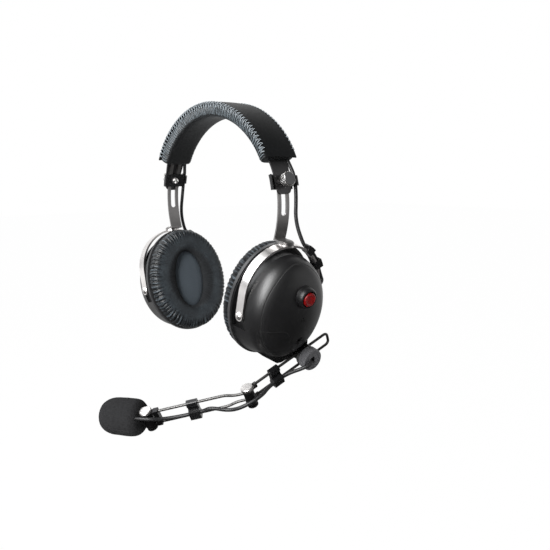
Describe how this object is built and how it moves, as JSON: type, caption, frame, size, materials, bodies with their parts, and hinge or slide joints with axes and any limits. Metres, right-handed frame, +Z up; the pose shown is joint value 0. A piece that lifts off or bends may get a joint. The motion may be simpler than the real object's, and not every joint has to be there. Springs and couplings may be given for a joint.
{
  "type": "aviation headset",
  "caption": "Over-ear headset with a sprung headband, slotted height arms, tilting ear cups and a jointed microphone boom.",
  "frame": {"origin": "inside of the headband's crown, where it rests on the head", "axes": "+X the wearer's left, -Y the way the wearer looks, +Z up"},
  "size_m": [0.2293, 0.1748, 0.2845],
  "materials": {
    "spring_steel": "satin",
    "strap_steel": "satin",
    "bright_steel": "polished",
    "wire_steel": "satin",
    "screw_metal": "satin, knurled edge",
    "dark_metal": "satin",
    "plated_brass": "polished",
    "pad_leather": "gathered",
    "cover_leather": "smooth matt",
    "cushion_leather": "soft, wrinkled",
    "baffle_fabric": "woven over foam",
    "shell_plastic": "satin",
    "flange_plastic": "matt",
    "clip_plastic": "matt",
    "bezel_plastic": "gloss",
    "red_plastic": "gloss",
    "knob_plastic": "satin, ribbed edge",
    "board_plastic": "matt",
    "driver_metal": "satin",
    "lead_rubber": "matt",
    "foam_black": "open foam"
  },
  "bodies": {
    "headband": {"spring_band": "spring_steel", "headband_cushion": "pad_leather", "headband_cover": "cover_leather", "crossover_lead": "lead_rubber", "clamp_plates": "clip_plastic", "clamp_nuts": "bright_steel", "left_lead_upper": "lead_rubber", "right_lead_upper": "lead_rubber"},
    "left_thumb": {"left_thumbscrew": "screw_metal"},
    "left_arm": {"left_slotted_arm": "strap_steel", "left_swivel_rivet": "strap_steel"},
    "left_fork": {"left_yoke": "bright_steel", "left_pivot_screws": "strap_steel", "left_yoke_clips": "clip_plastic", "left_lead_middle": "lead_rubber"},
    "left_cup": {"left_cup_shell": "shell_plastic", "left_backplate": "flange_plastic", "left_ear_cushion": "cushion_leather", "left_baffle_cloth": "baffle_fabric", "left_speaker_driver": "driver_metal", "left_lead_lower": "lead_rubber", "button_bezel": "bezel_plastic", "button_spring": "wire_steel", "switch_board": "board_plastic", "jack_socket": "plated_brass", "boom_mount": "shell_plastic"},
    "right_thumb": {"right_thumbscrew": "screw_metal"},
    "right_arm": {"right_slotted_arm": "strap_steel", "right_swivel_rivet": "strap_steel"},
    "right_fork": {"right_yoke": "bright_steel", "right_pivot_screws": "strap_steel", "right_yoke_clips": "clip_plastic", "right_lead_middle": "lead_rubber"},
    "right_cup": {"right_cup_shell": "shell_plastic", "right_backplate": "flange_plastic", "right_ear_cushion": "cushion_leather", "right_baffle_cloth": "baffle_fabric", "right_speaker_driver": "driver_metal", "right_lead_lower": "lead_rubber"},
    "button": {"button_cap": "red_plastic"},
    "boom_pivot": {"boom_clamp": "dark_metal", "mic_lead_rear": "lead_rubber"},
    "boom_hand_knob": {"boom_knob": "knob_plastic"},
    "boom_rear": {"boom_rear_wire": "wire_steel", "rear_lead_clip": "clip_plastic", "elbow_fork": "dark_metal", "elbow_nut": "dark_metal", "mic_lead_middle": "lead_rubber"},
    "elbow_hand_screw": {"elbow_screw": "screw_metal"},
    "boom_front": {"elbow_barrel": "knob_plastic", "boom_front_wires": "wire_steel", "front_lead_clip": "clip_plastic", "mic_fork": "dark_metal", "mic_nut": "dark_metal", "mic_lead_front": "lead_rubber"},
    "mic_hand_screw": {"mic_screw": "screw_metal"},
    "microphone": {"mic_housing": "knob_plastic", "windscreen": "foam_black"}
  },
  "joints": [
    {"name": "left_thumb_turn", "type": "hinge", "parent": "headband", "child": "left_thumb", "pos_m": [0.08606, 0, -0.05485], "axis": [0.9681, 0, 0.2504], "range_deg": [-180, 180]},
    {"name": "left_arm_height", "type": "hinge", "parent": "headband", "child": "left_arm", "pos_m": [0.012, 0, -0.074], "axis": [0, 1, 0], "range_deg": [-13, 8.5], "deforming": ["left_lead_upper"]},
    {"name": "left_yoke_swivel", "type": "hinge", "parent": "left_arm", "child": "left_fork", "pos_m": [0.0909, 0, -0.1036], "axis": [0.2402, 0, 0.9707], "range_deg": [-12, 12], "deforming": ["left_lead_middle"]},
    {"name": "left_cup_tilt", "type": "hinge", "parent": "left_fork", "child": "left_cup", "pos_m": [0.07797, 0, -0.16211], "axis": [0, 1, 0], "range_deg": [-4, 4], "deforming": ["left_lead_lower"]},
    {"name": "right_thumb_turn", "type": "hinge", "parent": "headband", "child": "right_thumb", "pos_m": [-0.08606, 0, -0.05485], "axis": [-0.9681, 0, 0.2504], "range_deg": [-180, 180]},
    {"name": "right_arm_height", "type": "hinge", "parent": "headband", "child": "right_arm", "pos_m": [-0.012, 0, -0.074], "axis": [0, 1, 0], "range_deg": [-8.5, 13], "deforming": ["right_lead_upper"]},
    {"name": "right_yoke_swivel", "type": "hinge", "parent": "right_arm", "child": "right_fork", "pos_m": [-0.0909, 0, -0.1036], "axis": [-0.2402, 0, 0.9707], "range_deg": [-12, 12], "deforming": ["right_lead_middle"]},
    {"name": "right_cup_tilt", "type": "hinge", "parent": "right_fork", "child": "right_cup", "pos_m": [-0.07797, 0, -0.16211], "axis": [0, 1, 0], "range_deg": [-4, 4], "deforming": ["right_lead_lower"]},
    {"name": "button_press", "type": "slide", "parent": "left_cup", "child": "button", "axis": [-0.9707, 0, 0.2402], "range_m": [0, 0.0015], "stiffness_N_per_m": 600, "springref_m": -0.002, "deforming": ["button_spring"]},
    {"name": "boom_turn", "type": "hinge", "parent": "left_cup", "child": "boom_pivot", "pos_m": [0.0852, 0.0241, -0.20366], "axis": [0.9707, 0, -0.2402], "range_deg": [-5, 32]},
    {"name": "knob_turn", "type": "hinge", "parent": "boom_pivot", "child": "boom_hand_knob", "pos_m": [0.08908, 0.0241, -0.20462], "axis": [0.9707, 0, -0.2402], "range_deg": [-180, 180]},
    {"name": "boom_reach", "type": "slide", "parent": "boom_pivot", "child": "boom_rear", "axis": [-0.103, -0.9033, -0.4164], "range_m": [-0.015, 0.014], "deforming": ["mic_lead_rear"]},
    {"name": "elbow_screw_turn", "type": "hinge", "parent": "boom_rear", "child": "elbow_hand_screw", "pos_m": [0.07852, -0.03001, -0.23064], "axis": [0.1074, -0.4263, 0.8982], "range_deg": [-180, 180]},
    {"name": "elbow_bend", "type": "hinge", "parent": "boom_rear", "child": "boom_front", "pos_m": [0.07852, -0.03001, -0.23064], "axis": [0.1074, -0.4263, 0.8982], "range_deg": [-45, 40], "deforming": ["mic_lead_middle"]},
    {"name": "mic_screw_turn", "type": "hinge", "parent": "boom_front", "child": "mic_hand_screw", "pos_m": [0.01886, -0.09203, -0.25294], "axis": [0.1074, -0.4263, 0.8982], "range_deg": [-180, 180]},
    {"name": "mic_swivel", "type": "hinge", "parent": "boom_front", "child": "microphone", "pos_m": [0.01886, -0.09203, -0.25294], "axis": [0.1074, -0.4263, 0.8982], "range_deg": [-30, 35], "deforming": ["mic_lead_front"]}
  ]
}
